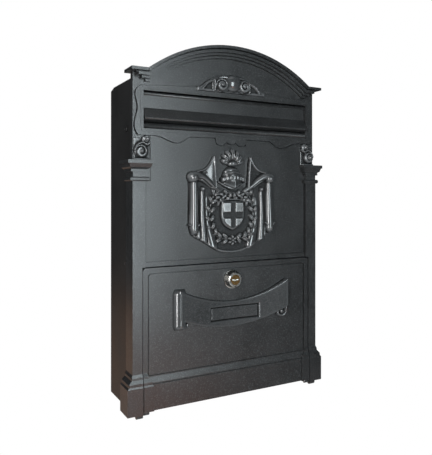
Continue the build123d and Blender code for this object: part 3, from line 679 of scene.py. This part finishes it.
class LETTERBOX_OT_castings(bpy.types.Operator):
    """Coat the cast front, the flap and the door"""
    bl_idname = "letterbox.castings"
    bl_label = "Castings"

    def execute(self, context):
        coat_nodes(("front_frame", "slot_flap", "door_panel"), cast_coat(), sizes().cast_edge)
        return {"FINISHED"}


class LETTERBOX_OT_fixings(bpy.types.Operator):
    """Finish the rod, pins, clips, nuts and screws"""
    bl_idname = "letterbox.fixings"
    bl_label = "Fixings"

    def execute(self, context):
        steel = plated_metal("zinc_plate", (0.56, 0.57, 0.58), 0.3)
        coat_nodes(("flap_rod", "rod_clips", "rod_clip_screws", "door_hinge_pin_left",
                    "door_hinge_pin_right", "crest_push_nuts", "ribbon_push_nuts"), steel)
        return {"FINISHED"}


SHUTTER_BARS, SHUTTER_THICK = ((8.0, 1.1), (3.2, 2.0)), 0.5


class LETTERBOX_OT_lock(bpy.types.Operator):
    """Finish the cam lock"""
    bl_idname = "letterbox.lock"
    bl_label = "Cam lock"

    def execute(self, context):
        nickel = plated_metal("bright_nickel", finishes().nickel_colour, 0.20, 0.05)
        brass = plated_metal("worn_brass", finishes().brass_colour, 0.24, 0.2)
        steel = plated_metal("lock_steel", (0.5, 0.5, 0.5), 0.34)
        coat_nodes(("lock_housing",), nickel)
        mesh = bmesh.new()
        middle = (0, -(LOCK_DEPTH - SHUTTER_THICK) * MM, (LOCK_HEIGHT + FOOT) * MM)
        for width, height in SHUTTER_BARS:
            bar = bmesh.ops.create_cube(mesh, size=1.0)["verts"]
            bmesh.ops.scale(mesh, verts=bar, vec=(width * MM, SHUTTER_THICK * MM, height * MM))
            bmesh.ops.translate(mesh, verts=bar, vec=middle)
        shutter = add_piece("keyway_shutter", mesh, "lock")
        dress(shutter, plated_metal("polished_shutter", (0.92, 0.9, 0.86), 0.42))
        coat_nodes(("lock_plug",), brass)
        coat_nodes(("lock_nut", "lock_washer", "lock_cam", "cam_washer", "cam_screw"), steel)
        return {"FINISHED"}


class LETTERBOX_OT_plaque(bpy.types.Operator):
    """Cast the generic heraldic plaque on the panel"""
    bl_idname = "letterbox.plaque"
    bl_label = "Plaque"

    def execute(self, context):
        piece = relief("heraldic_plaque", (-60, 60), (165, 298), PANEL_DEPTH, crest_height, "box",
                       sizes().relief_pitch)
        dress(piece, relief_coat())
        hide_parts("crest_plaque")
        return {"FINISHED"}


class LETTERBOX_OT_ribbon(bpy.types.Operator):
    """Cast the ribbon-shaped name plate on the door"""
    bl_idname = "letterbox.ribbon"
    bl_label = "Name ribbon"

    def execute(self, context):
        piece = relief("name_plate_ribbon", (-78, 79), (80, 133), DOOR_DEPTH, ribbon_height, "door",
                       sizes().relief_pitch)
        dress(piece, ribbon_coat())
        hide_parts("name_ribbon")
        return {"FINISHED"}


class LETTERBOX_OT_scrolls(bpy.types.Operator):
    """Cast the double scroll over the slot and the brackets beside the panel"""
    bl_idname = "letterbox.scrolls"
    bl_label = "Scrolls"

    def execute(self, context):
        pitch = sizes().relief_pitch * 0.8
        piece = relief("double_scroll", (-49, 49), (355, 380), FIELD_DEPTH, ornament_height, "box", pitch)
        dress(piece, relief_coat())
        for side, name in ((-1, "left"), (1, "right")):
            span = sorted((side * 100.0, side * 122.0))
            bracket = relief(f"side_bracket_{name}", span, (272, 303), PLATE_DEPTH, bracket_height(side),
                             "box", pitch)
            dress(bracket, relief_coat())
        return {"FINISHED"}


def area_light(name, place, target, size, power, colour):
    """Rectangular soft light aimed at a point."""
    data = bpy.data.lights.new(name, "AREA")
    data.shape, data.size, data.size_y = "RECTANGLE", size[0], size[1]
    data.energy, data.color = power, colour
    lamp = bpy.data.objects.new(name, data)
    bpy.context.scene.collection.objects.link(lamp)
    lamp.location = place
    lamp.visible_camera = False
    lamp.rotation_euler = (Vector(target) - Vector(place)).to_track_quat("-Z", "Y").to_euler()


FLOOR_HALF, FLOOR_DROP = 6.0, 1.0
SKY_COLOUR, SKY_STRENGTH = (0.8, 0.9, 1.0, 1), 0.022
WHITE, FRONT_MIDDLE, DOOR_MIDDLE = (1, 1, 1), (0, -0.08, 0), (0, -0.08, -0.17)
# Each light's name, place, target, width and height, power in watts, and colour.
LIGHTS = (
    ("key", (0.20, -1.56, 0.10), FRONT_MIDDLE, (0.34, 1.1), 20, (0.86, 0.96, 1.0)),
    ("rim", (-1.15, -1.05, 0.15), FRONT_MIDDLE, (0.25, 1.3), 30, WHITE),
    ("left", (-1.5, -0.1, 0.1), FRONT_MIDDLE, (0.6, 0.9), 5, WHITE),
    ("top", (0.0, -0.45, 1.5), FRONT_MIDDLE, (1.0, 0.6), 1.5, WHITE),
    ("warm_front", (0.30, -1.36, -0.74), DOOR_MIDDLE, (0.5, 0.25), 1.1, (1.0, 0.32, 0.14)),
    ("warm_side", (-0.48, 1.03, -0.52), (-0.12, -0.04, -0.17), (1.0, 0.4), 0.5, (1.0, 0.55, 0.32)),
    ("right_side", (1.4, 0.35, 0.2), (0.12, -0.03, 0), (0.6, 0.9), 4, WHITE),
    ("back", (0.7, 1.5, 0.5), (0, 0, 0), (0.9, 0.6), 6, WHITE),
)
CAMERA_PLACE, CAMERA_TURN = (-0.3196, -0.6329, 0.0358), -28.4
CAMERA_LENS, CAMERA_SENSOR, CAMERA_SHIFT = 42.76, 36.0, -0.0699


class LETTERBOX_OT_stage(bpy.types.Operator):
    """Set the floor, the studio light and the camera"""
    bl_idname = "letterbox.stage"
    bl_label = "Studio stage"

    def execute(self, context):
        scene = context.scene
        mesh = bmesh.new()
        bmesh.ops.create_grid(mesh, x_segments=1, y_segments=1, size=FLOOR_HALF)
        floor = add_object("studio_floor", mesh)
        floor.location = (0, 0, CAD_BOX[0][2] - FLOOR_DROP)
        paper = new_material("pale_floor")
        floor.data.materials.append(paper.finish(Base_Color=(0.86, 0.86, 0.86, 1), Roughness=0.9))
        paper.glow_for_camera("ShaderNodeEmission", "Material Output")
        scene.world = bpy.data.worlds.new("studio")
        sky = Shader(scene.world, "Background")
        sky.finish(Color=SKY_COLOUR, Strength=SKY_STRENGTH)
        sky.glow_for_camera("ShaderNodeBackground", "World Output")
        scene.view_settings.view_transform = "Standard"
        for light in LIGHTS:
            area_light(*light)
        camera = bpy.data.objects.new("camera", bpy.data.cameras.new("camera"))
        scene.collection.objects.link(camera)
        camera.location = CAMERA_PLACE
        camera.rotation_euler = (radians(90), 0, radians(CAMERA_TURN))
        camera.data.lens, camera.data.sensor_width = CAMERA_LENS, CAMERA_SENSOR
        camera.data.shift_y = CAMERA_SHIFT
        scene.camera = camera
        return {"FINISHED"}


class LETTERBOX_PT_looks(bpy.types.Panel):
    """Sidebar panel with the letter box's settings and steps"""
    bl_label = "Letter Box"
    bl_space_type = "VIEW_3D"
    bl_region_type = "UI"
    bl_category = "Letter Box"

    def draw(self, context):
        for group in (context.scene.letter_box_sizes, context.scene.letter_box_finishes):
            for key in group.bl_rna.properties.keys():
                if key not in {"rna_type", "name"}:
                    self.layout.prop(group, key)
        for step in STEPS:
            self.layout.operator(step.bl_idname)


STEPS = (LETTERBOX_OT_body, LETTERBOX_OT_castings, LETTERBOX_OT_fixings, LETTERBOX_OT_lock,
         LETTERBOX_OT_plaque, LETTERBOX_OT_ribbon, LETTERBOX_OT_scrolls, LETTERBOX_OT_stage)
CLASSES = (LetterBoxFinishes, LetterBoxSizes, *STEPS, LETTERBOX_PT_looks)


def register():
    for cls in CLASSES:
        bpy.utils.register_class(cls)
    bpy.types.Scene.letter_box_sizes = PointerProperty(type=LetterBoxSizes)
    bpy.types.Scene.letter_box_finishes = PointerProperty(type=LetterBoxFinishes)


def unregister():
    del bpy.types.Scene.letter_box_finishes
    del bpy.types.Scene.letter_box_sizes
    for cls in reversed(CLASSES):
        bpy.utils.unregister_class(cls)


def main():
    """Make every piece in order."""
    register()
    bpy.ops.letterbox.body()
    bpy.ops.letterbox.castings()
    bpy.ops.letterbox.fixings()
    bpy.ops.letterbox.lock()
    bpy.ops.letterbox.plaque()
    bpy.ops.letterbox.ribbon()
    bpy.ops.letterbox.scrolls()
    bpy.ops.letterbox.stage()


if __name__ == "__main__":
    main()
